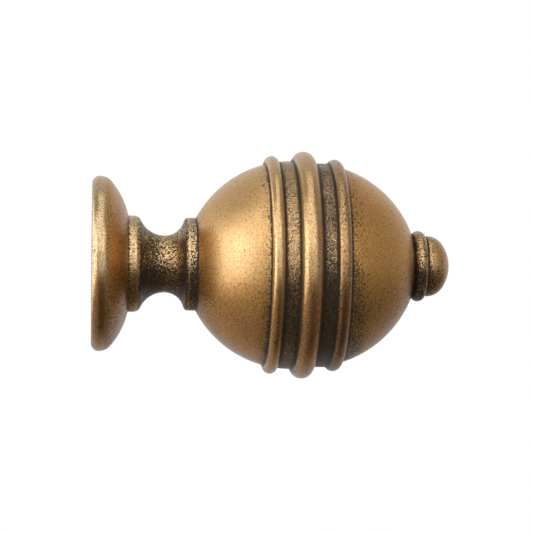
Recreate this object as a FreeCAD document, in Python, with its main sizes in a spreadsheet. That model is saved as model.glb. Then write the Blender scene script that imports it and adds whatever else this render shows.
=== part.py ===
import FreeCAD, Part
import math
import os
from collections import namedtuple
from enum import IntEnum

import Sketcher

# Curtain pole finial, cast and turned as one piece of brass. Millimetres.
# The turning axis is X. The flat back face, which meets the end of the pole, lies at X = 0,
# and the tip points along +X. +Z is up.

SIZES = {
    # Flange: the domed plate that covers the end of the pole
    "flange_diameter": 40.0,
    "flange_depth": 8.3,
    "rim_back_round": 1.8,
    "rim_front_round": 3.45,
    "flange_dome_radius": 18.0,
    # Neck: a collar, a hollow throat and a cuff under the ball
    "collar_diameter": 22.0,
    "collar_width": 1.28,
    "collar_round": 1.73,
    "throat_diameter": 13.0,
    "throat_offset": 7.05,
    "cuff_offset": 5.3,
    "cuff_round": 0.92,
    "cuff_width": 1.83,
    "cuff_diameter": 21.2,
    # Ball: a back half, two plain bands between the beads, and a front dome
    "ball_diameter": 47.7,
    "ball_sweep_radius": 24.75,
    "band_diameter": 46.8,
    "dome_sweep_radius": 25.05,
    "dome_offset": 1.85,
    # Beads round the ball, each a half round that stands proud of its band
    "back_bead_offset": 4.84,
    "back_bead_height": 1.14,
    "back_bead_round": 1.46,
    "middle_bead_offset": 2.46,
    "middle_bead_height": 2.2,
    "middle_bead_round": 2.48,
    "front_bead_offset": 7.21,
    "front_bead_height": 0.93,
    "front_bead_round": 1.65,
    # Tip: a bead and a button nose
    "tip_bead_offset": 1.53,
    "tip_bead_height": 1.17,
    "tip_bead_round": 1.64,
    "button_diameter": 13.9,
    "button_side": 2.19,
    "button_shoulder_round": 4.07,
    "button_nose_radius": 8.9,
    # Fixing hole: the tapping size of an M8 thread, with a countersunk mouth
    "hole_diameter": 6.8,
    "hole_depth": 18.0,
    "mouth_diameter": 9.0,
    "mouth_angle": 90.0,
    "drill_point_angle": 118.0,
}


def run_from_crest(sweep, crest, radius):
    """How far along the axis an arc of radius sweep runs from its crest to a given radius."""
    return f"sqrt({sweep} ^ 2 - ({sweep} - {crest} + {radius}) ^ 2)"


# Radii from the axis
FLANGE_R = "sizes.flange_diameter / 2"
COLLAR_R = "sizes.collar_diameter / 2"
THROAT_R = "sizes.throat_diameter / 2"
CUFF_R = "sizes.cuff_diameter / 2"
BALL_R = "sizes.ball_diameter / 2"
BAND_R = "sizes.band_diameter / 2"
BUTTON_R = "sizes.button_diameter / 2"
HOLE_R = "sizes.hole_diameter / 2"

# Stations along the axis, each measured on from the one before it
COLLAR_END = "sizes.flange_depth + sizes.collar_width"
THROAT_X = f"{COLLAR_END} + sizes.throat_offset"
CUFF_X = f"{THROAT_X} + sizes.cuff_offset"
CUFF_END = f"{CUFF_X} + sizes.cuff_width"
# The ball's sweep starts from the cuff's edge
BALL_CREST = f"{CUFF_END} + {run_from_crest('sizes.ball_sweep_radius', BALL_R, CUFF_R)}"
BACK_BEAD_X = f"{BALL_CREST} - sizes.back_bead_offset"
MIDDLE_BEAD_X = f"{BALL_CREST} + sizes.middle_bead_offset"
FRONT_BEAD_X = f"{MIDDLE_BEAD_X} + sizes.front_bead_offset"
DOME_CREST = f"{MIDDLE_BEAD_X} + sizes.dome_offset"
# The dome's sweep falls to the button's radius at the tip's seat
TIP_SEAT = f"{DOME_CREST} + {run_from_crest('sizes.dome_sweep_radius', BAND_R, BUTTON_R)}"
TIP_BEAD_X = f"{TIP_SEAT} + sizes.tip_bead_offset"
SHOULDER_X = f"{TIP_BEAD_X} + sizes.button_side"

# The ball reaches back inside the cuff, and the stem and the button reach inside the ball
BALL_ROOT_R = THROAT_R
DOME_END_R = f"{BUTTON_R} / 2"
STEM_END = f"{CUFF_END} + {CUFF_R} / 2"
TIP_ROOT = f"{TIP_SEAT} - {BUTTON_R} / 2"

# Each bead: its name, its station, the radius it stands on
BEADS = [
    ("back_bead", BACK_BEAD_X, BALL_R),
    ("middle_bead", MIDDLE_BEAD_X, BALL_R),
    ("front_bead", FRONT_BEAD_X, BAND_R),
    ("tip_bead", TIP_BEAD_X, BUTTON_R),
]

Segment = namedtuple("Segment", "index first last")


class Spot(IntEnum):
    """Sketcher's numbers for the points of a segment."""

    START = 1
    END = 2
    CENTRE = 3


class Base(IntEnum):
    """Sketcher's numbers for the sketch's own axes."""

    AXIS = -1
    BACK_PLANE = -2


ORIGIN = (Base.AXIS, Spot.START)


def make_sheet(doc):
    """The spreadsheet of driving sizes, one aliased cell each."""
    sheet = doc.addObject("Spreadsheet::Sheet", "sizes")
    for row, (name, value) in enumerate(SIZES.items(), start=1):
        sheet.set(f"A{row}", name)
        sheet.set(f"B{row}", str(value))
        sheet.setAlias(f"B{row}", name)
    doc.recompute()


def origin_plane(body, role):
    return next(feature for feature in body.Origin.OriginFeatures if feature.Role == role)


def toward(start, aim, distance):
    """The point at a distance from start on the line to aim."""
    return start + (aim - start).normalize() * distance


class Section:
    """A half section in the XZ plane: x runs along the turning axis, and y out from it.

    Its segments are drawn one after another near their places, then rules and sizes fix them.
    """

    def __init__(self, body, name, plane="XZ_Plane"):
        self.body = body
        self.name = name
        self.sheet = body.Document.getObject("sizes")
        self.sketch = body.newObject("Sketcher::SketchObject", f"{name}_section")
        self.sketch.AttachmentSupport = [(origin_plane(body, plane), "")]
        self.sketch.MapMode = "FlatFace"
        self.segments = []

    def value(self, expression):
        return float(self.sheet.evalExpression(expression))

    def point(self, x, y):
        return FreeCAD.Vector(self.value(x), self.value(y), 0)

    def rule(self, kind, *references):
        return self.sketch.addConstraint(Sketcher.Constraint(kind, *references))

    def size(self, name, expression, kind, *references):
        """A dimension that follows the sheet."""
        index = self.rule(kind, *references, self.value(expression))
        self.sketch.renameConstraint(index, name)
        self.sketch.setExpression(f"Constraints.{name}", expression)

    def radius(self, name, expression, segment):
        self.size(name, expression, "Radius", segment.index)

    def place(self, name, segment, which, x=None, y=None):
        """Fixes a point's station along the axis, its distance from the axis, or both."""
        if x is not None:
            self.size(f"{name}_x", x, "DistanceX", *ORIGIN, segment.index, which)
        if y is not None:
            self.size(f"{name}_r", y, "DistanceY", *ORIGIN, segment.index, which)

    def centre_in_line(self, arc, which):
        """Puts an arc's centre straight below or above one of its ends."""
        self.rule("Vertical", arc.index, Spot.CENTRE, arc.index, which)

    def joined(self, segment, tangent):
        """Joins a new segment to the end of the last one."""
        if self.segments:
            before = self.segments[-1]
            kind = "Tangent" if tangent else "Coincident"
            self.rule(kind, before.index, before.last, segment.index, segment.first)
        self.segments.append(segment)
        return segment

    def line(self, start, end, tangent=False):
        index = self.sketch.addGeometry(Part.LineSegment(start, end), False)
        return self.joined(Segment(index, Spot.START, Spot.END), tangent)

    def arc(self, start, end, centre, tangent=False):
        """An arc from start to end about a centre, the short way round."""
        middle = toward(centre, (start + end) / 2, centre.distanceToPoint(start))
        index = self.sketch.addGeometry(Part.Arc(start, middle, end), False)
        # Arcs run anticlockwise, so one that swells away from the axis ends where it was drawn from
        swells = (end - start).cross(centre - start).z < 0
        ends = (Spot.END, Spot.START) if swells else (Spot.START, Spot.END)
        return self.joined(Segment(index, *ends), tangent)

    def close(self):
        """The last line, back to the first point."""
        first, before = self.segments[0], self.segments[-1]
        start = self.sketch.getPoint(before.index, before.last)
        end = self.sketch.getPoint(first.index, first.first)
        closing = self.line(start, end)
        self.rule("Coincident", closing.index, closing.last, first.index, first.first)
        return closing

    def close_on_axis(self):
        axis = self.close()
        for end in (axis.first, axis.last):
            self.rule("PointOnObject", axis.index, end, Base.AXIS)

    def revolve(self):
        feature = self.body.newObject("PartDesign::Revolution", self.name)
        feature.Profile = (self.sketch, [""])
        feature.ReferenceAxis = (self.sketch, ["H_Axis"])
        feature.Angle = 360
        self.body.Document.recompute()


def hollow_centre(throat, round_centre, round_radius):
    """The centre of the arc that is level at the throat and touches a rounded shoulder."""
    across = round_centre.x - throat.x
    above = round_centre.y - throat.y
    radius = (across**2 + above**2 - round_radius**2) / (2 * (above + round_radius))
    return throat + FreeCAD.Vector(0, radius, 0)


def dome_centre(rim_centre, rim_radius, foot, radius):
    """The centre of the arc that runs on smoothly from the rim's round and ends at its foot."""
    reach = radius - rim_radius
    apart = rim_centre.distanceToPoint(foot)
    along = (reach**2 - radius**2 + apart**2) / (2 * apart)
    aside = math.sqrt(reach**2 - along**2)
    line = (foot - rim_centre).normalize()
    return rim_centre + line * along + FreeCAD.Vector(line.y, -line.x, 0) * aside


def make_stem(body):
    """The flange, the collar, the hollow neck and the cuff, in one section."""
    part = Section(body, "stem")
    back_round_centre = part.point("sizes.rim_back_round", f"{FLANGE_R} - sizes.rim_back_round")
    back_edge = part.point("0", f"{FLANGE_R} - sizes.rim_back_round")
    crest = part.point("sizes.rim_back_round", FLANGE_R)
    rim_centre = part.point("sizes.rim_back_round", f"{FLANGE_R} - sizes.rim_front_round")
    collar_start = part.point("sizes.flange_depth", COLLAR_R)
    dome_middle = dome_centre(
        rim_centre,
        part.value("sizes.rim_front_round"),
        collar_start,
        part.value("sizes.flange_dome_radius"),
    )
    rim_end = toward(dome_middle, rim_centre, part.value("sizes.flange_dome_radius"))
    collar_end = part.point(COLLAR_END, COLLAR_R)
    collar_round_centre = part.point(COLLAR_END, f"{COLLAR_R} - sizes.collar_round")
    throat = part.point(THROAT_X, THROAT_R)
    collar_round_r = part.value("sizes.collar_round")
    back_hollow_centre = hollow_centre(throat, collar_round_centre, collar_round_r)
    hollow_start = toward(collar_round_centre, back_hollow_centre, collar_round_r)
    cuff_start = part.point(CUFF_X, CUFF_R)
    cuff_round_centre = part.point(CUFF_X, f"{CUFF_R} - sizes.cuff_round")
    cuff_round_r = part.value("sizes.cuff_round")
    front_hollow_centre = hollow_centre(throat, cuff_round_centre, cuff_round_r)
    hollow_end = toward(cuff_round_centre, front_hollow_centre, cuff_round_r)
    stem_end = part.point(STEM_END, CUFF_R)

    back = part.line(part.point("0", "0"), back_edge)
    back_round = part.arc(back_edge, crest, back_round_centre, tangent=True)
    rim = part.arc(crest, rim_end, rim_centre, tangent=True)
    dome = part.arc(rim_end, collar_start, dome_middle, tangent=True)
    collar = part.line(collar_start, collar_end)
    collar_round = part.arc(collar_end, hollow_start, collar_round_centre, tangent=True)
    hollow_back = part.arc(hollow_start, throat, back_hollow_centre, tangent=True)
    part.arc(throat, hollow_end, front_hollow_centre, tangent=True)
    cuff_round = part.arc(hollow_end, cuff_start, cuff_round_centre, tangent=True)
    cuff = part.line(cuff_start, stem_end, tangent=True)
    front = part.line(stem_end, part.point(STEM_END, "0"))
    part.close_on_axis()

    part.rule("PointOnObject", back.index, back.first, Base.BACK_PLANE)
    for upright in (back, front):
        part.rule("Vertical", upright.index)
    for level in (collar, cuff):
        part.rule("Horizontal", level.index)
    part.radius("rim_back_round", "sizes.rim_back_round", back_round)
    part.centre_in_line(back_round, back_round.last)
    part.place("crest", back_round, back_round.last, y=FLANGE_R)
    part.radius("rim_front_round", "sizes.rim_front_round", rim)
    part.radius("flange_dome", "sizes.flange_dome_radius", dome)
    part.place("collar_start", dome, dome.last, x="sizes.flange_depth", y=COLLAR_R)
    part.place("collar_end", collar, collar.last, x=COLLAR_END)
    part.radius("collar_round", "sizes.collar_round", collar_round)
    part.place("throat", hollow_back, hollow_back.last, x=THROAT_X, y=THROAT_R)
    part.centre_in_line(hollow_back, hollow_back.last)
    part.radius("cuff_round", "sizes.cuff_round", cuff_round)
    part.place("cuff_start", cuff, cuff.first, x=CUFF_X, y=CUFF_R)
    part.place("stem_end", cuff, cuff.last, x=STEM_END)
    part.revolve()


def make_ball(body):
    """The ball's back half, the two plain bands and the front dome, in one section."""
    part = Section(body, "ball")
    root_run = run_from_crest("sizes.ball_sweep_radius", BALL_R, BALL_ROOT_R)
    root_x = f"{BALL_CREST} - {root_run}"
    dome_run = run_from_crest("sizes.dome_sweep_radius", BAND_R, DOME_END_R)
    dome_end_x = f"{DOME_CREST} + {dome_run}"
    past_crest = "(sizes.front_bead_offset - sizes.dome_offset)"
    dome_start_r = (
        f"{BAND_R} - sizes.dome_sweep_radius + sqrt(sizes.dome_sweep_radius ^ 2 - {past_crest} ^ 2)"
    )
    sweep_centre = part.point(BALL_CREST, f"{BALL_R} - sizes.ball_sweep_radius")
    sweep_start = part.point(root_x, BALL_ROOT_R)
    crest = part.point(BALL_CREST, BALL_R)
    step_top = part.point(MIDDLE_BEAD_X, BALL_R)
    step_foot = part.point(MIDDLE_BEAD_X, BAND_R)
    band_end = part.point(FRONT_BEAD_X, BAND_R)
    dome_middle = part.point(DOME_CREST, f"{BAND_R} - sizes.dome_sweep_radius")
    dome_start = part.point(FRONT_BEAD_X, dome_start_r)
    dome_end = part.point(dome_end_x, DOME_END_R)

    back = part.line(part.point(root_x, "0"), sweep_start)
    sweep = part.arc(sweep_start, crest, sweep_centre)
    back_band = part.line(crest, step_top, tangent=True)
    step = part.line(step_top, step_foot)
    front_band = part.line(step_foot, band_end)
    drop = part.line(band_end, dome_start)
    dome = part.arc(dome_start, dome_end, dome_middle)
    front = part.line(dome_end, part.point(dome_end_x, "0"))
    part.close_on_axis()

    for upright in (back, step, drop, front):
        part.rule("Vertical", upright.index)
    for level in (back_band, front_band):
        part.rule("Horizontal", level.index)
    part.place("sweep_start", sweep, sweep.first, y=BALL_ROOT_R)
    part.radius("ball_sweep", "sizes.ball_sweep_radius", sweep)
    part.place("crest", sweep, sweep.last, x=BALL_CREST, y=BALL_R)
    part.place("step", step, step.last, x=MIDDLE_BEAD_X, y=BAND_R)
    part.place("band_end", front_band, front_band.last, x=FRONT_BEAD_X)
    part.radius("dome_sweep", "sizes.dome_sweep_radius", dome)
    part.place("dome_centre", dome, Spot.CENTRE, x=DOME_CREST)
    part.place("dome_start", dome, dome.first, y=dome_start_r)
    part.place("dome_end", dome, dome.last, y=DOME_END_R)
    part.revolve()


def make_button(body):
    """The button nose at the tip: a straight side, a rounded shoulder and a flatter nose."""
    part = Section(body, "button")
    nose = "sizes.button_nose_radius"
    shoulder = "sizes.button_shoulder_round"
    # The two arcs touch, so their centres lie apart by the difference of their radii
    centres_apart = f"sqrt(({nose} - {shoulder}) ^ 2 - ({BUTTON_R} - {shoulder}) ^ 2)"
    nose_centre = part.point(f"{SHOULDER_X} - {centres_apart}", "0")
    apex = part.point(f"{SHOULDER_X} - {centres_apart} + {nose}", "0")
    shoulder_centre = part.point(SHOULDER_X, f"{BUTTON_R} - {shoulder}")
    nose_start = toward(nose_centre, shoulder_centre, part.value(nose))
    side_start = part.point(TIP_ROOT, BUTTON_R)
    side_end = part.point(SHOULDER_X, BUTTON_R)

    back = part.line(part.point(TIP_ROOT, "0"), side_start)
    side = part.line(side_start, side_end)
    shoulder_arc = part.arc(side_end, nose_start, shoulder_centre, tangent=True)
    nose_arc = part.arc(nose_start, apex, nose_centre, tangent=True)
    part.close_on_axis()

    part.rule("Vertical", back.index)
    part.rule("Horizontal", side.index)
    part.place("side_start", side, side.first, x=TIP_ROOT, y=BUTTON_R)
    part.place("side_end", side, side.last, x=SHOULDER_X)
    part.radius("shoulder_round", shoulder, shoulder_arc)
    part.radius("nose_radius", nose, nose_arc)
    part.rule("PointOnObject", nose_arc.index, Spot.CENTRE, Base.AXIS)
    part.revolve()


def make_bead(body, name, station, stands_on):
    """A half-round moulding whose straight sides run down into what it stands on."""
    part = Section(body, name)
    bead_round = f"sizes.{name}_round"
    crest_r = f"{stands_on} + sizes.{name}_height"
    sides_r = f"{crest_r} - {bead_round}"
    root_r = f"{stands_on} - 2 * {bead_round}"
    back_x = f"{station} - {bead_round}"
    front_x = f"{station} + {bead_round}"
    centre = part.point(station, sides_r)
    crest = part.point(station, crest_r)
    back_top = part.point(back_x, sides_r)
    front_top = part.point(front_x, sides_r)

    # The half round is drawn as two quarters that meet at its crest
    back = part.line(part.point(back_x, root_r), back_top)
    back_arc = part.arc(back_top, crest, centre, tangent=True)
    front_arc = part.arc(crest, front_top, centre, tangent=True)
    front = part.line(front_top, part.point(front_x, root_r), tangent=True)
    root = part.close()

    for upright in (back, front):
        part.rule("Vertical", upright.index)
    part.rule("Horizontal", root.index)
    part.radius("bead_round", bead_round, back_arc)
    part.rule("Equal", back_arc.index, front_arc.index)
    part.place("crest", back_arc, back_arc.last, x=station, y=crest_r)
    part.centre_in_line(back_arc, back_arc.last)
    part.place("root", root, root.last, y=root_r)
    part.revolve()


def make_hole(body):
    """The blind fixing hole in the back face, with a drilled end and a countersunk mouth."""
    part = Section(body, "hole", plane="YZ_Plane")
    circle = Part.Circle(FreeCAD.Vector(0, 0, 0), FreeCAD.Vector(0, 0, 1), part.value(HOLE_R))
    mouth = Segment(part.sketch.addGeometry(circle, False), Spot.CENTRE, Spot.CENTRE)
    part.rule("Coincident", mouth.index, Spot.CENTRE, *ORIGIN)
    part.radius("hole_radius", HOLE_R, mouth)
    solid_before = body.Shape.Volume

    hole = body.newObject("PartDesign::Hole", "fixing_hole")
    hole.Profile = part.sketch
    body.Document.recompute()
    hole.ThreadType = "None"
    hole.DepthType = "Dimension"
    hole.DrillPoint = "Angled"
    hole.HoleCutType = "Countersink"
    hole.HoleCutCustomValues = True
    hole.Reversed = True
    bound = {
        "Diameter": "hole_diameter",
        "Depth": "hole_depth",
        "DrillPointAngle": "drill_point_angle",
        "HoleCutDiameter": "mouth_diameter",
        "HoleCutCountersinkAngle": "mouth_angle",
    }
    for setting, size in bound.items():
        hole.setExpression(setting, f"sizes.{size}")
    body.Document.recompute()
    drilled = math.pi * part.value(HOLE_R) ** 2 * part.value("sizes.hole_depth")
    if solid_before - body.Shape.Volume < drilled * 0.98:
        raise RuntimeError("the fixing hole isn't cut into the body")


def check(doc, body):
    """Stops before anything is written if a feature failed or the body isn't one valid solid."""
    for item in doc.Objects:
        if {"Invalid", "Error"} & set(item.State):
            raise RuntimeError(f"{item.Label} failed: {item.State}")
    for sketch in doc.findObjects("Sketcher::SketchObject"):
        if not sketch.FullyConstrained:
            raise RuntimeError(f"{sketch.Label} isn't fully fixed")
    shape = body.Shape
    if shape.isNull() or not shape.isValid() or len(shape.Solids) != 1:
        raise RuntimeError(f"{body.Label} isn't one valid solid")


def main():
    doc = FreeCAD.newDocument("curtain_pole_finial")
    make_sheet(doc)
    finial = doc.addObject("PartDesign::Body", "finial")
    finial.Label = "finial"
    finial.Placement = FreeCAD.Placement()
    make_stem(finial)
    make_ball(finial)
    make_button(finial)
    for name, station, stands_on in BEADS:
        make_bead(finial, name, station, stands_on)
    make_hole(finial)
    doc.recompute()
    check(doc, finial)
    box = finial.Shape.optimalBoundingBox(False)
    print(f"{finial.Label}: {finial.Shape.Volume:.1f} mm3")
    print(f"{box.XLength:.2f} mm long, {box.ZLength:.2f} mm across")
    os.makedirs("parts", exist_ok=True)
    finial.Shape.exportStep(f"parts/{finial.Label}.step")


main()
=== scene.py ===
"""Dresses the curtain pole finial: one turned piece of blackened and burnished brass."""

import math
from collections import namedtuple

import bpy
import numpy as np
from mathutils import Matrix, Vector


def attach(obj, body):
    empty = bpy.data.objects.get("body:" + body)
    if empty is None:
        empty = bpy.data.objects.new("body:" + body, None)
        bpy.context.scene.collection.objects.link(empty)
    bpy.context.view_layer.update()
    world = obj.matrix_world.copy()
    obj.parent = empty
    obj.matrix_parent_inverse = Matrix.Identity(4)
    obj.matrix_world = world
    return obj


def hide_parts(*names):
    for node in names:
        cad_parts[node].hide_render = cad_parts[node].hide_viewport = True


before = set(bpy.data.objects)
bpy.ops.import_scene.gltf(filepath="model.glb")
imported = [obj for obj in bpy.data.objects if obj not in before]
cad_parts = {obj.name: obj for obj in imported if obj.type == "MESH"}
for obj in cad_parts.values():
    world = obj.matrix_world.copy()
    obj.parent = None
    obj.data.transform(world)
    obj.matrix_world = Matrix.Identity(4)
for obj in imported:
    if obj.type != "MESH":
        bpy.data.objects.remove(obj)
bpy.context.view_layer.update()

# The finial's lengths are in millimetres, as in the part's source, and this turns them into metres
MM = 0.001

# The turned outline. The axis is X, the flat back lies at X = 0 and the tip points along +X.
FLANGE_R = 20.0
RIM_BACK_ROUND = 1.8
RIM_FRONT_ROUND = 3.45
FLANGE_DOME_RADIUS = 18.0
COLLAR_START = 8.3
COLLAR_END = COLLAR_START + 1.28
COLLAR_R = 11.0
COLLAR_ROUND = 1.73
THROAT_X = COLLAR_END + 7.05
THROAT_R = 6.5
CUFF_START = THROAT_X + 5.3
CUFF_END = CUFF_START + 1.83
CUFF_R = 10.6
CUFF_ROUND = 0.92
BALL_R = 23.85
BALL_SWEEP = 24.75
BAND_R = 23.4
DOME_SWEEP = 25.05
BUTTON_R = 6.95
BUTTON_SIDE = 2.19
SHOULDER_ROUND = 4.07
NOSE_RADIUS = 8.9
BALL_CREST = CUFF_END + math.sqrt(BALL_SWEEP**2 - (BALL_SWEEP - BALL_R + CUFF_R) ** 2)
BACK_BEAD_X = BALL_CREST - 4.84
MIDDLE_BEAD_X = BALL_CREST + 2.46
FRONT_BEAD_X = MIDDLE_BEAD_X + 7.21
DOME_CREST = MIDDLE_BEAD_X + 1.85
TIP_SEAT = DOME_CREST + math.sqrt(DOME_SWEEP**2 - (DOME_SWEEP - BAND_R + BUTTON_R) ** 2)
TIP_BEAD_X = TIP_SEAT + 1.53
SHOULDER_X = TIP_BEAD_X + BUTTON_SIDE

# Each bead is a half round: its station, its crest's radius and its round
Bead = namedtuple("Bead", "x crest round")
BACK_BEAD = Bead(BACK_BEAD_X, BALL_R + 1.14, 1.46)
MIDDLE_BEAD = Bead(MIDDLE_BEAD_X, BALL_R + 2.2, 2.48)
FRONT_BEAD = Bead(FRONT_BEAD_X, BAND_R + 0.93, 1.65)
TIP_BEAD = Bead(TIP_BEAD_X, BUTTON_R + 1.17, 1.64)

# The blind hole in the back, with its M8 thread
HOLE_R = 3.4
HOLE_DEPTH = 18.0
HOLE_POINT = 20.04
MOUTH_R = 4.5
MOUTH_EDGE = 0.08
THREAD_R = 4.0
THREAD_PITCH = 1.25
THREAD_FULL = 12.5
THREAD_END = 15.5

# How finely the mesh is divided, and how far the small round in each crevice reaches
SEGMENTS = 192
HOLE_SEGMENTS = 96
HOLE_ROWS = 120
BACK_ROWS = 13
CREVICE_SOFTNESS = 0.22

# A place nearer the axis than this counts as on it
ON_AXIS = 1e-6


def level(start, end, radius, step=0.5):
    """A straight run of the outline at one radius."""
    count = max(1, math.ceil((end - start) / step))
    return [(start + (end - start) * i / count, radius) for i in range(count + 1)]


def arc(centre_x, centre_r, radius, start_x, end_x, step, hollow=False):
    """A run of the outline along an arc, from one station to the next."""
    side = -1 if hollow else 1
    start = math.asin(max(-1.0, min(1.0, (start_x - centre_x) / radius)))
    end = math.asin(max(-1.0, min(1.0, (end_x - centre_x) / radius)))
    count = max(2, math.ceil(abs(end - start) * radius / step))
    angles = [start + (end - start) * i / count for i in range(count + 1)]
    return [(centre_x + radius * math.sin(a), centre_r + side * radius * math.cos(a)) for a in angles]


def on_arc(centre_x, centre_r, radius):
    """A function that gives a swelling arc's distance from the axis at a station."""

    def distance(x):
        return centre_r + math.sqrt(max(0.0, radius**2 - (x - centre_x) ** 2))

    return distance


def on_level(radius):
    """A function that gives a straight run's distance from the axis, the same at every station."""

    def distance(_):
        return radius

    return distance


def ball(x):
    """The ball's back half, and the plain band that runs on from its crest."""
    if x > BALL_CREST:
        return BALL_R
    return on_arc(BALL_CREST, BALL_R - BALL_SWEEP, BALL_SWEEP)(x)


def dome(x):
    """The ball's front half, from its crest to the tip."""
    return on_arc(DOME_CREST, BAND_R - DOME_SWEEP, DOME_SWEEP)(x)


def meeting(one, other, low, high):
    """The station between low and high where two curves cross."""
    rising = one(low) < other(low)
    for _ in range(60):
        middle = (low + high) / 2
        if (one(middle) < other(middle)) == rising:
            low = middle
        else:
            high = middle
    return (low + high) / 2


def bead_run(bead, behind, ahead, step):
    """A bead's run of the outline, with the stations where it leaves and rejoins its neighbours."""
    sides_r = bead.crest - bead.round
    top = on_arc(bead.x, sides_r, bead.round)
    start = bead.x - bead.round
    end = bead.x + bead.round
    run = []
    # Where the half round ends above its neighbour, its side drops straight down to it
    if behind(start) < sides_r:
        run.append((start, behind(start)))
    else:
        start = meeting(top, behind, start, bead.x)
    run += arc(bead.x, sides_r, bead.round, start, end, step)
    if ahead(end) < sides_r:
        run.append((end, ahead(end)))
    else:
        end = meeting(top, ahead, bead.x, end)
        run = [place for place in run if place[0] < end - step / 2] + [(end, ahead(end))]
    return start, run, end


def hollow_radius(round_x, round_r, round_radius):
    """The radius of the arc that is level at the throat and touches a rounded shoulder."""
    across = round_x - THROAT_X
    above = round_r - THROAT_R
    return (across**2 + above**2 - round_radius**2) / (2 * (above + round_radius))


def flange_run():
    """The flange's rounded rim and its dome, down to the collar."""
    # The dome's arc runs smoothly out of the rim's front round and ends at the collar's foot
    rim_r = FLANGE_R - RIM_FRONT_ROUND
    reach = FLANGE_DOME_RADIUS - RIM_FRONT_ROUND
    across = COLLAR_START - RIM_BACK_ROUND
    apart = math.hypot(across, COLLAR_R - rim_r)
    along = (reach**2 - FLANGE_DOME_RADIUS**2 + apart**2) / (2 * apart)
    aside = math.sqrt(reach**2 - along**2)
    line_x = across / apart
    line_r = (COLLAR_R - rim_r) / apart
    dome_x = RIM_BACK_ROUND + line_x * along + line_r * aside
    dome_r = rim_r + line_r * along - line_x * aside
    rim_end = dome_x + (RIM_BACK_ROUND - dome_x) * FLANGE_DOME_RADIUS / reach
    run = arc(RIM_BACK_ROUND, FLANGE_R - RIM_BACK_ROUND, RIM_BACK_ROUND, 0.0, RIM_BACK_ROUND, 0.22)
    run += arc(RIM_BACK_ROUND, rim_r, RIM_FRONT_ROUND, RIM_BACK_ROUND, rim_end, 0.35)[1:]
    run += arc(dome_x, dome_r, FLANGE_DOME_RADIUS, rim_end, COLLAR_START, 0.5)[1:]
    return run


def neck_run():
    """The collar, the hollow neck and the cuff, up to the ball."""
    collar_r = COLLAR_R - COLLAR_ROUND
    back = hollow_radius(COLLAR_END, collar_r, COLLAR_ROUND)
    cuff_r = CUFF_R - CUFF_ROUND
    front = hollow_radius(CUFF_START, cuff_r, CUFF_ROUND)
    # Each hollow touches its shoulder on the line between their centres
    back_touch = COLLAR_END + (THROAT_X - COLLAR_END) * COLLAR_ROUND / (back + COLLAR_ROUND)
    front_touch = CUFF_START + (THROAT_X - CUFF_START) * CUFF_ROUND / (front + CUFF_ROUND)
    run = level(COLLAR_START, COLLAR_END, COLLAR_R, 0.2)
    run += arc(COLLAR_END, collar_r, COLLAR_ROUND, COLLAR_END, back_touch, 0.22)[1:]
    run += arc(THROAT_X, THROAT_R + back, back, back_touch, THROAT_X, 0.45, hollow=True)[1:]
    run += arc(THROAT_X, THROAT_R + front, front, THROAT_X, front_touch, 0.4, hollow=True)[1:]
    run += arc(CUFF_START, cuff_r, CUFF_ROUND, front_touch, CUFF_START, 0.16)[1:]
    run += level(CUFF_START, CUFF_END, CUFF_R, 0.13)[1:]
    return run


def button_run(start):
    """The button nose, from the tip bead to the apex."""
    centres_apart = math.sqrt((NOSE_RADIUS - SHOULDER_ROUND) ** 2 - (BUTTON_R - SHOULDER_ROUND) ** 2)
    nose_x = SHOULDER_X - centres_apart
    nose_start = nose_x + centres_apart * NOSE_RADIUS / (NOSE_RADIUS - SHOULDER_ROUND)
    run = level(start, SHOULDER_X, BUTTON_R, 0.2)
    run += arc(SHOULDER_X, BUTTON_R - SHOULDER_ROUND, SHOULDER_ROUND, SHOULDER_X, nose_start, 0.35)[1:]
    run += arc(nose_x, 0.0, NOSE_RADIUS, nose_start, nose_x + NOSE_RADIUS, 0.4)[1:]
    return run


def outline_runs():
    """The outside of the finial as smooth runs; a crevice lies between each run and the next."""
    back_start, back_bead, back_end = bead_run(BACK_BEAD, ball, ball, 0.2)
    middle_start, middle_bead, middle_end = bead_run(MIDDLE_BEAD, on_level(BALL_R), on_level(BAND_R), 0.25)
    front_start, front_bead, front_end = bead_run(FRONT_BEAD, on_level(BAND_R), dome, 0.2)
    tip_start, tip_bead, tip_end = bead_run(TIP_BEAD, dome, on_level(BUTTON_R), 0.2)
    ball_r = BALL_R - BALL_SWEEP
    first_band = arc(BALL_CREST, ball_r, BALL_SWEEP, back_end, BALL_CREST, 0.4)
    first_band += level(BALL_CREST, middle_start, BALL_R)[1:]
    return [
        flange_run(),
        neck_run(),
        arc(BALL_CREST, ball_r, BALL_SWEEP, CUFF_END, back_start, 0.5),
        back_bead,
        first_band,
        middle_bead,
        level(middle_end, front_start, BAND_R),
        front_bead,
        arc(DOME_CREST, BAND_R - DOME_SWEEP, DOME_SWEEP, front_end, tip_start, 0.55),
        tip_bead,
        button_run(tip_end),
    ]


def cut_back(points, length):
    """A run with a length taken off its end."""
    kept = list(points)
    while len(kept) > 2:
        last = Vector(kept[-1])
        gap = (Vector(kept[-2]) - last).length
        if gap > length:
            break
        length -= gap
        kept.pop()
    last = Vector(kept[-1])
    step = Vector(kept[-2]) - last
    kept[-1] = tuple(last + step.normalized() * length)
    return kept


def soft_join(run, following):
    """Joins two runs with a small round in the crevice between them."""
    corner = Vector(run[-1])
    before = cut_back(run, CREVICE_SOFTNESS)
    after = cut_back(following[::-1], CREVICE_SOFTNESS)[::-1]
    start = Vector(before[-1])
    end = Vector(after[0])
    for share in (0.25, 0.5, 0.75):
        first = start.lerp(corner, share)
        second = corner.lerp(end, share)
        before.append(tuple(first.lerp(second, share)))
    return before + after


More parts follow.
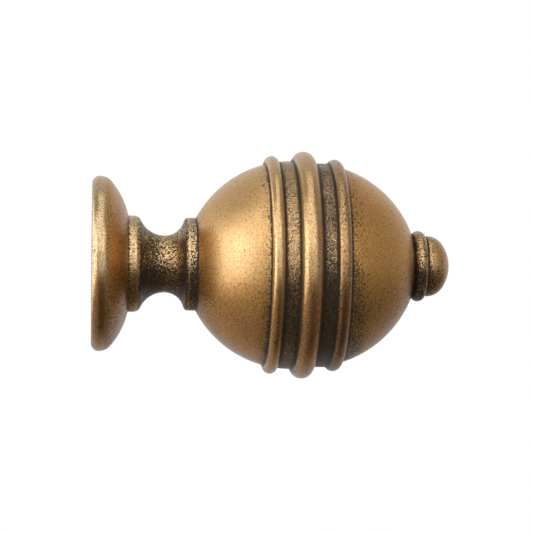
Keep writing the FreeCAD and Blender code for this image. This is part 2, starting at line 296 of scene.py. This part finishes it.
def outline():
    """The whole outside, from the back's edge to the apex, and the places of its crevices."""
    runs = outline_runs()
    joined = runs[0]
    for run in runs[1:]:
        joined = soft_join(joined, run)
    return joined, [run[0] for run in runs[1:]]


def flat_back():
    """The flat back, from the hole's softened mouth out to the rim."""
    edge = FLANGE_R - RIM_BACK_ROUND
    start = MOUTH_R + 2 * MOUTH_EDGE
    run = [(MOUTH_EDGE, MOUTH_R), (MOUTH_EDGE * 0.3, MOUTH_R + MOUTH_EDGE * 0.7)]
    run += [(0.0, start + (edge - start) * i / BACK_ROWS) for i in range(BACK_ROWS)]
    return run


def thread_depth(x):
    """How deep the thread is cut at a station: full at first, fading out where the tap stopped."""
    fade = (x - THREAD_FULL) / (THREAD_END - THREAD_FULL)
    return (THREAD_R - HOLE_R) * (1 - min(1.0, max(0.0, fade)))


def hole_radius(x, angle):
    """The hole's wall: the countersunk mouth, and the helical groove behind it."""
    mouth = MOUTH_R + MOUTH_EDGE - x
    turn = x / THREAD_PITCH - angle / math.tau
    groove = (0.5 - 0.5 * math.cos(math.tau * turn)) ** 0.8
    return max(mouth, HOLE_R + thread_depth(x) * groove)


# The flange's rim is polished as far as this, in a strip with a clear edge
RIM_EDGE = 3.05

# The finish at each station of the outside, as pairs of a station and a value.
# How much dark patina is left, from 0, burnished, to 1, black: the hollows and the bands keep it,
# and handling has worn it off the crests and the flange's rim.
PATINA = [
    # Flange
    (0.0, 0.28), (0.5, 0.14), (1.0, 0.05), (RIM_EDGE - 0.1, 0.04), (RIM_EDGE + 0.2, 0.17),
    (COLLAR_START - 0.8, 0.21),
    # Collar, with a bright front edge
    (COLLAR_START, 0.34), (COLLAR_START + 0.9, 0.25), (COLLAR_END + 0.2, 0.2), (COLLAR_END + 0.5, 0.0),
    (COLLAR_END + 0.8, 0.3),
    # Neck
    (COLLAR_END + 1.5, 0.68), (THROAT_X - 3.5, 0.64), (THROAT_X, 0.47), (THROAT_X + 3.0, 0.5),
    (CUFF_START - 0.9, 0.68), (CUFF_START - 0.25, 0.55),
    # Cuff, with a bright back edge
    (CUFF_START, 0.05), (CUFF_START + 0.14, 0.5), (CUFF_END, 0.54),
    # Ball
    (CUFF_END + 0.5, 0.24), (CUFF_END + 1.6, 0.16), (CUFF_END + 4.0, 0.11), (BACK_BEAD.x - 8.0, 0.06),
    (BACK_BEAD.x - 3.5, 0.12), (BACK_BEAD.x - 1.8, 0.34), (BACK_BEAD.x - 1.5, 0.36),
    # Back bead and first band
    (BACK_BEAD.x - 1.3, 0.2), (BACK_BEAD.x - 0.7, 0.08), (BACK_BEAD.x + 0.7, 0.08), (BACK_BEAD.x + 1.3, 0.24),
    (BACK_BEAD.x + 1.5, 0.5), (BALL_CREST - 1.6, 0.47), (MIDDLE_BEAD.x - 2.5, 0.52),
    # Middle bead and second band
    (MIDDLE_BEAD.x - 2.2, 0.24), (MIDDLE_BEAD.x - 1.4, 0.1), (MIDDLE_BEAD.x + 1.4, 0.12),
    (MIDDLE_BEAD.x + 2.3, 0.26), (MIDDLE_BEAD.x + 2.5, 0.68), (FRONT_BEAD.x - 3.0, 0.64),
    (FRONT_BEAD.x - 1.6, 0.69),
    # Front bead and dome
    (FRONT_BEAD.x - 1.3, 0.3), (FRONT_BEAD.x - 0.8, 0.25), (FRONT_BEAD.x + 0.8, 0.21),
    (FRONT_BEAD.x + 1.5, 0.3), (FRONT_BEAD.x + 1.7, 0.42), (FRONT_BEAD.x + 3.2, 0.38),
    (FRONT_BEAD.x + 7.0, 0.14), (TIP_SEAT - 4.0, 0.16), (TIP_SEAT - 0.6, 0.34),
    # Tip bead and button
    (TIP_BEAD.x - 1.3, 0.6), (TIP_BEAD.x - 0.6, 0.46), (TIP_BEAD.x + 0.8, 0.46), (TIP_BEAD.x + 1.3, 0.12),
    (TIP_BEAD.x + 1.6, 0.56), (SHOULDER_X, 0.34), (SHOULDER_X + 2.0, 0.23), (SHOULDER_X + 6.0, 0.2),
]

# How brown the film is that dulls the metal between the black specks.
# Below 0 it also takes away some of the painted shade on the underside.
FILM = [
    # Flange and collar
    (0.0, 0.4), (0.8, 0.16), (RIM_EDGE - 0.1, 0.1), (RIM_EDGE + 0.2, 0.1), (COLLAR_START, 0.28),
    (COLLAR_START + 0.3, 0.0), (COLLAR_END + 0.3, 0.0),
    # Neck and cuff
    (COLLAR_END + 1.0, 0.25), (THROAT_X - 1.0, 0.0), (THROAT_X + 3.0, 0.0), (CUFF_START - 0.5, 0.3),
    (CUFF_START, 0.0), (CUFF_END, 0.1),
    # Ball
    (CUFF_END + 0.3, -0.1), (CUFF_END + 5.5, -0.12), (BACK_BEAD.x - 4.0, -0.1), (BACK_BEAD.x - 1.5, 0.12),
    # Back bead and first band
    (BACK_BEAD.x - 1.2, 0.0), (BACK_BEAD.x + 1.4, 0.0), (BACK_BEAD.x + 1.6, 0.15),
    (MIDDLE_BEAD.x - 2.5, 0.15),
    # Middle bead and second band
    (MIDDLE_BEAD.x - 2.2, 0.06), (MIDDLE_BEAD.x, 0.06), (MIDDLE_BEAD.x + 2.4, 0.15),
    (FRONT_BEAD.x - 1.6, 0.25),
    # Front bead and dome
    (FRONT_BEAD.x, 0.53), (FRONT_BEAD.x + 1.2, 0.25), (FRONT_BEAD.x + 1.7, 0.1), (FRONT_BEAD.x + 6.0, -0.08),
    (TIP_SEAT - 1.0, 0.0),
    # Tip bead and button
    (TIP_SEAT, 0.25), (TIP_BEAD.x + 1.3, 0.0), (TIP_BEAD.x + 1.6, 0.2), (SHOULDER_X + 2.0, 0.1),
]

# How pale the brass is burnished: most on the flange's rim, the collar and the cuff,
# and least on the flange's dome and the ball's front.
PALE = [
    # Flange and collar
    (0.0, 1.0), (RIM_EDGE - 0.15, 1.0), (RIM_EDGE + 0.2, 0.1), (COLLAR_START - 0.1, 0.05),
    (COLLAR_START + 0.1, 0.9), (COLLAR_END + 0.7, 0.9),
    # Neck and cuff
    (COLLAR_END + 3.0, 0.58), (CUFF_START - 0.8, 0.58), (CUFF_START, 1.0), (CUFF_START + 0.3, 0.8),
    (CUFF_END, 0.8),
    # Ball
    (CUFF_END + 0.4, 0.1), (CUFF_END + 5.0, 0.48), (BACK_BEAD.x - 1.5, 0.4),
    # Beads and bands
    (BACK_BEAD.x - 1.2, 0.6), (MIDDLE_BEAD.x - 2.5, 0.6), (MIDDLE_BEAD.x + 2.3, 0.58),
    (MIDDLE_BEAD.x + 2.5, 0.65), (FRONT_BEAD.x - 1.6, 0.65), (FRONT_BEAD.x + 1.5, 0.65),
    # Dome, tip bead and button
    (FRONT_BEAD.x + 2.0, 0.05), (TIP_SEAT - 3.0, 0.05), (TIP_SEAT, 0.75), (SHOULDER_X, 0.5),
    (SHOULDER_X + 6.0, 0.2),
]

# How clear the lathe's faint rings are: on the back's edge, and on the ball next to the cuff
TURNED = [
    (0.0, 0.5), (1.0, 0.0), (CUFF_END, 0.0), (CUFF_END + 0.35, 1.0), (CUFF_END + 2.5, 0.8),
    (CUFF_END + 5.5, 0.15), (CUFF_END + 9.0, 0.0),
]

# How coarse the black specks are: flecks in the neck, and a fine grain in the bands
COARSE = [
    # Flange, then collar to cuff, then ball
    (0.0, 0.55), (RIM_EDGE + 0.2, 0.5), (COLLAR_START, 0.68), (CUFF_END, 0.68), (CUFF_END + 1.0, 0.5),
    (BACK_BEAD.x - 2.0, 0.45),
    # Beads and bands
    (BACK_BEAD.x + 1.0, 0.45), (BACK_BEAD.x + 1.5, 0.2), (MIDDLE_BEAD.x - 2.4, 0.2),
    (MIDDLE_BEAD.x - 1.8, 0.45), (MIDDLE_BEAD.x + 1.8, 0.45), (MIDDLE_BEAD.x + 2.4, 0.2),
    (FRONT_BEAD.x - 1.6, 0.2), (FRONT_BEAD.x - 1.0, 0.4),
    # Dome and tip
    (FRONT_BEAD.x + 3.0, 0.36), (TIP_SEAT - 1.0, 0.4), (TIP_SEAT, 0.6),
]

# How far up its sides the black reaches in each crevice, and how thick it is there,
# from the collar's foot to the tip bead's front
CREVICES = [
    (0.3, 0.3), (0.3, 0.5), (0.5, 0.75), (0.5, 1.0), (0.45, 1.0),
    (0.55, 1.0), (0.45, 1.0), (0.35, 0.8), (0.5, 0.8), (0.4, 1.0),
]

# The finish of the hole and of the flat back, each even all over
HOLE_FINISH = {"patina": 0.3, "crevice": 0.0, "film": 0.2, "pale": 0.5, "turned": 0.0, "coarse": 0.6}
BACK_FINISH = {"patina": 0.42, "crevice": 0.0, "film": 0.3, "pale": 0.2, "turned": 1.0, "coarse": 0.6}

Ring = namedtuple("Ring", "places patina crevice film pale turned coarse")


def at_station(knots, x):
    """The value at a station, between the pairs on either side of it."""
    stations, values = zip(*knots)
    return float(np.interp(x, stations, values))


def circle(x, radius, count):
    """The places of one ring about the axis."""
    angles = [math.tau * i / count for i in range(count)]
    return [(x, radius * math.cos(a), radius * math.sin(a)) for a in angles]


def hole_rings():
    """The hole, from the point of its drilled end out to its mouth."""
    wall = [[(HOLE_POINT, 0.0, 0.0)]]
    # Two rings close together keep the corner at the drilled end crisp
    for x in (HOLE_DEPTH, HOLE_DEPTH - 0.1):
        wall.append(circle(x, HOLE_R, HOLE_SEGMENTS))
    # Fine rows follow, from just beyond the thread's end out to the mouth
    angles = [math.tau * i / HOLE_SEGMENTS for i in range(HOLE_SEGMENTS)]
    for row in range(HOLE_ROWS, 0, -1):
        x = MOUTH_EDGE + (THREAD_END + 0.4) * row / HOLE_ROWS
        radii = [hole_radius(x, a) for a in angles]
        wall.append([(x, r * math.cos(a), r * math.sin(a)) for r, a in zip(radii, angles)])
    return [Ring(places, **HOLE_FINISH) for places in wall]


def back_rings():
    """The flat back, from the hole's mouth out to the rim."""
    return [Ring(circle(x, r, SEGMENTS), **BACK_FINISH) for x, r in flat_back()]


def outside_rings():
    """The outside, from the back's edge to the apex, with its finish at each ring."""
    places, crevices = outline()
    rings = []
    for x, r in places:
        filled = []
        for spot, (reach, black) in zip(crevices, CREVICES):
            filled.append(black * (1 - math.dist((x, r), spot) / reach))
        ring = Ring(
            circle(x, r, SEGMENTS) if r > ON_AXIS else [(x, 0.0, 0.0)],
            patina=at_station(PATINA, x),
            crevice=max(0.0, *filled),
            film=at_station(FILM, x),
            pale=at_station(PALE, x),
            turned=at_station(TURNED, x),
            coarse=at_station(COARSE, x),
        )
        rings.append(ring)
    return rings


def faces_between(ring, following):
    """The faces between two rings: either may be a single point, or the second twice as fine."""
    count = len(ring)
    ahead = len(following)
    if count == 1:
        return [(ring[0], following[(i + 1) % ahead], following[i]) for i in range(ahead)]
    if ahead == 1:
        return [(ring[i], ring[(i + 1) % count], following[0]) for i in range(count)]
    if count == ahead:
        return [
            (ring[i], ring[(i + 1) % count], following[(i + 1) % count], following[i]) for i in range(count)
        ]
    faces = []
    for i in range(count):
        after = (i + 1) % count
        left, middle, right = following[2 * i], following[2 * i + 1], following[(2 * i + 2) % ahead]
        faces += [(ring[i], middle, left), (ring[i], ring[after], middle), (ring[after], right, middle)]
    return faces


def add_values(mesh, name, values):
    """Gives each point of the mesh a value that the material reads by name."""
    attribute = mesh.attributes.new(name, "FLOAT", "POINT")
    attribute.data.foreach_set("value", values)


def unwrap(mesh, points, along):
    """Lays the skin out flat: round the axis one way, and along the outline the other."""
    longest = max(along)
    layer = mesh.uv_layers.new(name="OFBake")
    for face in mesh.polygons:
        turns = [math.atan2(points[v][2], points[v][1]) / math.tau % 1.0 for v in face.vertices]
        on_axis = [math.hypot(points[v][1], points[v][2]) < ON_AXIS for v in face.vertices]
        wraps = max(turns) - min(turns) > 0.5
        if wraps:
            turns = [t + 1.0 if t < 0.5 else t for t in turns]
        off_axis = [t for t, centred in zip(turns, on_axis) if not centred]
        middle = sum(off_axis) / len(off_axis)
        for loop, vertex, turn, centred in zip(face.loop_indices, face.vertices, turns, on_axis):
            layer.data[loop].uv = (middle if centred else turn, along[vertex] / longest)


def build_finial():
    """The finial as one closed mesh of rings about the axis."""
    rings = hole_rings() + back_rings() + outside_rings()
    points = []
    numbers = []
    for ring in rings:
        first = len(points)
        points += ring.places
        numbers.append(range(first, first + len(ring.places)))
    faces = []
    for ring, following in zip(numbers, numbers[1:]):
        faces += faces_between(ring, following)
    mesh = bpy.data.meshes.new("finial_skin")
    mesh.from_pydata([Vector(p) * MM for p in points], [], faces)
    mesh.polygons.foreach_set("use_smooth", [True] * len(mesh.polygons))
    counts = [len(ring.places) for ring in rings]
    for name in Ring._fields[1:]:
        add_values(mesh, name, np.repeat([getattr(ring, name) for ring in rings], counts))
    # The length along the outline, from the hole's point
    lengths = [0.0]
    profile = [(ring.places[0][0], math.hypot(*ring.places[0][1:])) for ring in rings]
    for before, after in zip(profile, profile[1:]):
        lengths.append(lengths[-1] + math.dist(before, after))
    along = np.repeat(lengths, counts)
    add_values(mesh, "run", along)
    unwrap(mesh, points, along)
    mesh.validate()
    piece = bpy.data.objects.new("finial_skin", mesh)
    bpy.context.scene.collection.objects.link(piece)
    return piece


class Graph:
    """A node tree, with short ways to add and join its nodes."""

    def __init__(self, tree):
        self.tree = tree
        tree.nodes.clear()

    def node(self, kind, inputs=None, **settings):
        """Adds a node; an input is either joined to a socket or set to a value."""
        made = self.tree.nodes.new(kind)
        for name, value in settings.items():
            setattr(made, name, value)
        for name, value in (inputs or {}).items():
            if isinstance(value, bpy.types.NodeSocket):
                self.tree.links.new(value, made.inputs[name])
            else:
                made.inputs[name].default_value = value
        return made

    def math(self, operation, first, second=0.0, third=0.0):
        """A sum, product or other operation on up to three values."""
        inputs = {0: first, 1: second, 2: third}
        return self.node("ShaderNodeMath", inputs, operation=operation).outputs[0]

    def noise(self, vector, scale, detail, roughness):
        """A cloudy value between 0 and 1 at each place."""
        inputs = {"Vector": vector, "Scale": scale, "Detail": detail, "Roughness": roughness}
        return self.node("ShaderNodeTexNoise", inputs).outputs["Fac"]

    def ramp(self, value, low, high, start=0.0, end=1.0):
        """Goes smoothly from start to end while a value goes from low to high."""
        inputs = {"Value": value, "From Min": low, "From Max": high, "To Min": start, "To Max": end}
        made = self.node("ShaderNodeMapRange", inputs, interpolation_type="SMOOTHSTEP")
        return made.outputs["Result"]

    def mix(self, share, first, second):
        """The first value where the share is 0, and the second where it is 1."""
        inputs = {"Factor": share, 2: first, 3: second}
        return self.node("ShaderNodeMix", inputs, data_type="FLOAT").outputs[0]

    def mix_colour(self, share, first, second):
        """The first colour where the share is 0, and the second where it is 1."""
        inputs = {"Factor": share, 6: first, 7: second}
        return self.node("ShaderNodeMix", inputs, data_type="RGBA").outputs[2]

    def attribute(self, name):
        """A value that the mesh carries at its points."""
        return self.node("ShaderNodeAttribute", attribute_name=name).outputs["Fac"]

    def parts(self, vector):
        """The X, Y and Z of a vector."""
        return self.node("ShaderNodeSeparateXYZ", {"Vector": vector}).outputs


# The metal's colours
GOLD = (0.71, 0.355, 0.076, 1.0)
DEEP_GOLD = (0.64, 0.32, 0.068, 1.0)
PALE_BRASS = (0.65, 0.49, 0.26, 1.0)
# A brown for the film, also used for the painted shade on the underside
BROWN_FILM_AND_SHADE = (0.22, 0.087, 0.026, 1.0)
WORN_BLACK = (0.045, 0.029, 0.017, 1.0)
FULL_BLACK = (0.012, 0.009, 0.006, 1.0)

# How many times each noise turns over in a metre
GRAIN_SCALE = 5200.0
FLECK_SCALE = 2500.0
MOTTLE_SCALE = 170.0
CLOUD_SCALE = 55.0

# Two dark marks, in metres: a hairline that slants across the back bead below the axis,
# and a pit in the ball beside that bead, above the axis.
HAIRLINE_X = (BACK_BEAD.x - 0.12) * MM
HAIRLINE_Z = -0.01738
HAIRLINE_SLOPE = 0.62
PIT = (0.0380, -0.0141, 0.0176)


def dark_marks(graph, place):
    """How far the hairline and the pit blacken the metal, from 0 to 1."""
    # The hairline lies on the side towards -Y, and ends part way down the bead's sides
    axes = graph.parts(place)
    from_crest = graph.math("SUBTRACT", axes["X"], HAIRLINE_X)
    slant = graph.math("MULTIPLY_ADD", from_crest, HAIRLINE_SLOPE, axes["Z"])
    off_line = graph.math("ABSOLUTE", graph.math("SUBTRACT", slant, HAIRLINE_Z))
    off_crest = graph.math("ABSOLUTE", from_crest)
    near_side = graph.math("LESS_THAN", axes["Y"], 0.0)
    line = graph.math("MULTIPLY", graph.ramp(off_line, 0.00014, 0.0003, 1.0, 0.0), near_side)
    hairline = graph.math("MULTIPLY", line, graph.ramp(off_crest, 0.0005, 0.0009, 1.0, 0.0))
    off_pit = graph.node("ShaderNodeVectorMath", {0: place, 1: PIT}, operation="DISTANCE").outputs["Value"]
    return graph.math("MAXIMUM", hairline, graph.ramp(off_pit, 0.0002, 0.0005, 0.9, 0.0))


def antique_brass():
    """Blackened brass, burnished back to a satin shine on the crests and left speckled in the hollows."""
    material = bpy.data.materials.new("antique_brass")
    material.use_nodes = True
    graph = Graph(material.node_tree)
    coordinates = graph.node("ShaderNodeTexCoord").outputs
    place = coordinates["Object"]
    patina = graph.attribute("patina")
    pale = graph.attribute("pale")
    grain = graph.noise(place, GRAIN_SCALE, 2.0, 0.6)
    fleck = graph.noise(place, FLECK_SCALE, 2.0, 0.6)
    mottle = graph.noise(place, MOTTLE_SCALE, 4.0, 0.55)
    cloud = graph.noise(place, CLOUD_SCALE, 3.0, 0.5)

    # Painted shade on the underside: the patina there is made up to twice as thick, and further down the film
    # is browner and the brass less pale
    painted_underside_shade = graph.ramp(graph.parts(coordinates["Normal"])["Z"], -0.5, 0.12, 1.0, 0.0)
    patina_with_underside_shade = graph.math("MULTIPLY", patina, graph.math("ADD", painted_underside_shade, 1.0))
    most_patina_and_shade = graph.math("ADD", patina, 0.3)
    uneven = graph.math("MULTIPLY", graph.math("SUBTRACT", mottle, 0.5), 0.6)
    # The patina kept, with the painted underside shade on it and a random unevenness
    kept = graph.math("ADD", graph.math("MINIMUM", patina_with_underside_shade, most_patina_and_shade), uneven)

    # Black specks: few where it is burnished, and nearly everywhere in the hollows; the painted underside
    # shade adds more of them low down
    speck = graph.mix(graph.attribute("coarse"), grain, fleck)
    patchy = graph.math("ADD", speck, graph.math("MULTIPLY", kept, 0.3))
    filled = graph.math("ADD", patchy, graph.math("MULTIPLY", graph.attribute("crevice"), 0.35))
    dark = graph.math("MAXIMUM", graph.ramp(filled, 0.61, 0.7), dark_marks(graph, place))

    # A fine grain and a brown film over the burnished metal, which drifts slowly between two golds. On the
    # underside the brass is painted less pale and the film browner, as painted shade
    gold = graph.mix_colour(graph.ramp(cloud, 0.35, 0.65), GOLD, DEEP_GOLD)
    paler = graph.math("MULTIPLY", pale, graph.ramp(painted_underside_shade, 0.0, 1.0, 1.0, 0.05))
    bright = graph.mix_colour(paler, gold, PALE_BRASS)
    film = graph.math("MULTIPLY_ADD", painted_underside_shade, 0.36, graph.attribute("film"))
    dull = graph.math("MULTIPLY_ADD", film, 0.8, graph.ramp(speck, 0.38, 0.62, 0.0, 0.6))
    burnished = graph.mix_colour(dull, bright, BROWN_FILM_AND_SHADE)
    black = graph.mix_colour(graph.ramp(grain, 0.4, 0.65), WORN_BLACK, FULL_BLACK)

    # The specks are small pits, and the lathe's rings are fine ridges along the outline
    ridges = graph.node(
        "ShaderNodeTexNoise",
        {"W": graph.attribute("run"), "Scale": 3.2, "Detail": 2.0},
        noise_dimensions="1D",
    ).outputs["Fac"]
    lathe = graph.math("MULTIPLY", ridges, graph.attribute("turned"))
    pits = graph.math("MULTIPLY", speck, graph.math("ADD", graph.math("MULTIPLY", patina, 1.6), 0.35))
    height = graph.math("SUBTRACT", graph.math("MULTIPLY", lathe, 0.5), pits)
    bump = graph.node("ShaderNodeBump", {"Strength": 0.6, "Distance": 0.00014, "Height": height})

    # The palest metal is polished the most
    polish = graph.ramp(pale, 0.49, 0.58, 0.39, 0.26)
    shader = graph.node(
        "ShaderNodeBsdfPrincipled",
        {
            "Base Color": graph.mix_colour(dark, burnished, black),
            "Metallic": graph.mix(dark, 0.9, 0.3),
            "Roughness": graph.mix(dark, polish, 0.45),
            "Normal": bump.outputs["Normal"],
            "Specular IOR Level": 0.25,
            "Specular Tint": (0.7, 0.66, 0.62, 1.0),
            "Coat Weight": graph.mix(dark, 0.7, 0.15),
            "Coat Roughness": 0.25,
            "Coat IOR": 1.5,
        },
    )
    graph.node("ShaderNodeOutputMaterial", {"Surface": shader.outputs["BSDF"]})
    return material


# The studio's colours, and how far the floor reaches each way and where it lies, in metres
WHITE = (1.0, 1.0, 1.0, 1.0)
FLOOR_COLOUR = (0.85, 0.85, 0.85, 1.0)
FLOOR_REACH = 6.0
FLOOR_HEIGHT = -0.15


def make_world():
    """A studio that is white to the camera; the metal reflects it dimmer on the camera's side."""
    world = bpy.data.worlds.new("studio")
    bpy.context.scene.world = world
    world.use_nodes = True
    graph = Graph(world.node_tree)
    path = graph.node("ShaderNodeLightPath").outputs
    along = graph.parts(graph.node("ShaderNodeTexCoord").outputs["Generated"])
    above = graph.ramp(along["Z"], -0.45, 0.05)
    behind = graph.ramp(along["Y"], 0.0, 0.9)
    upper = graph.mix(behind, 0.38, 0.88)
    # Low down on the camera's side it is dark, but for a little light from the left and the right
    left = graph.ramp(along["X"], -0.8, 0.1, 0.4, 0.03)
    right = graph.ramp(along["X"], 0.25, 0.85, 0.0, 0.13)
    lower = graph.mix(behind, graph.math("ADD", left, right), 0.6)
    reflected = graph.mix(above, lower, upper)
    # Matt surfaces get an even light from it
    seen = graph.math("MAXIMUM", path["Is Camera Ray"], path["Is Transmission Ray"])
    light = graph.mix(path["Is Glossy Ray"], 0.4, reflected)
    strength = graph.mix(seen, light, 1.0)
    background = graph.node("ShaderNodeBackground", {"Color": WHITE, "Strength": strength})
    graph.node("ShaderNodeOutputWorld", {"Surface": background.outputs["Background"]})


def make_floor():
    """A plain pale floor well below the finial, which hangs as it does on the end of its pole."""
    corners = []
    for x, y in ((-1, -1), (1, -1), (1, 1), (-1, 1)):
        corners.append((x * FLOOR_REACH, y * FLOOR_REACH, FLOOR_HEIGHT))
    mesh = bpy.data.meshes.new("floor")
    mesh.from_pydata(corners, [], [(0, 1, 2, 3)])
    floor = bpy.data.objects.new("floor", mesh)
    bpy.context.scene.collection.objects.link(floor)
    floor.visible_glossy = False
    material = bpy.data.materials.new("floor")
    material.use_nodes = True
    graph = Graph(material.node_tree)
    # It goes over into the white background with distance, and keeps the shadow near the finial
    path = graph.node("ShaderNodeLightPath").outputs
    place = graph.node("ShaderNodeTexCoord").outputs["Object"]
    distance = graph.node("ShaderNodeVectorMath", {0: place}, operation="LENGTH").outputs["Value"]
    far = graph.ramp(distance, 0.25, 0.7, 0.55, 1.0)
    shade = graph.node("ShaderNodeBsdfDiffuse", {"Color": FLOOR_COLOUR})
    white = graph.node("ShaderNodeEmission", {"Color": WHITE, "Strength": 1.0})
    share = graph.math("MULTIPLY", far, path["Is Camera Ray"])
    both = graph.node("ShaderNodeMixShader", {0: share, 1: shade.outputs[0], 2: white.outputs[0]})
    graph.node("ShaderNodeOutputMaterial", {"Surface": both.outputs[0]})
    mesh.materials.append(material)


# The lamps face the middle of the finial from this far away, in metres
LAMP_DISTANCE = 0.6
LAMP_TARGET = (0.04, 0.0, 0.0)


def make_lamp(name, azimuth, elevation, width, height, radiance):
    """A softbox that faces the finial from an azimuth round the camera's side and an elevation."""
    lamp = bpy.data.lights.new(name, "AREA")
    lamp.shape = "RECTANGLE"
    lamp.size = width
    lamp.size_y = height
    lamp.energy = radiance * math.pi * width * height
    placed = bpy.data.objects.new(name, lamp)
    turn = math.radians(azimuth)
    rise = math.radians(elevation)
    away = Vector((math.sin(turn) * math.cos(rise), -math.cos(turn) * math.cos(rise), math.sin(rise)))
    placed.location = Vector(LAMP_TARGET) + away * LAMP_DISTANCE
    placed.rotation_mode = "QUATERNION"
    placed.rotation_quaternion = away.to_track_quat("Z", "Y")
    bpy.context.scene.collection.objects.link(placed)


# The camera's distance and the picture's width in pixels, and a pixel's size at the finial in millimetres
PIXELS_AWAY = 2000.0
PICTURE_WIDTH = 533.0
PIXEL = 0.22967
CAMERA_TARGET = (40.06, 0.0, -0.38)
CAMERA_AZIMUTH = -5.1
CAMERA_ROLL = 0.5


def make_camera():
    """Stands level with the axis, a little to the flange's side."""
    data = bpy.data.cameras.new("camera")
    data.sensor_width = 36.0
    data.lens = data.sensor_width * PIXELS_AWAY / PICTURE_WIDTH
    camera = bpy.data.objects.new("camera", data)
    bpy.context.scene.collection.objects.link(camera)
    target = Vector(CAMERA_TARGET) * MM
    azimuth = math.radians(CAMERA_AZIMUTH)
    roll = Matrix.Rotation(math.radians(CAMERA_ROLL), 4, "Z")
    back = Vector((math.sin(azimuth), -math.cos(azimuth), 0.0))
    turn = (-back).to_track_quat("-Z", "Y").to_matrix().to_4x4() @ roll
    camera.matrix_world = Matrix.Translation(target + back * PIXELS_AWAY * PIXEL * MM) @ turn
    bpy.context.scene.camera = camera


finial = build_finial()
finial.data.materials.append(antique_brass())
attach(finial, "root")
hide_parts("finial")

make_world()
make_floor()
make_lamp("left", azimuth=-89, elevation=5, width=1.2, height=0.52, radiance=2.35)
make_lamp("front", azimuth=-20, elevation=42, width=1.4, height=0.5, radiance=1.36)
make_lamp("fill", azimuth=5, elevation=6, width=0.9, height=0.42, radiance=0.66)
make_lamp("top", azimuth=0, elevation=82, width=0.45, height=0.45, radiance=0.95)
make_camera()
bpy.context.scene.view_settings.view_transform = "Standard"
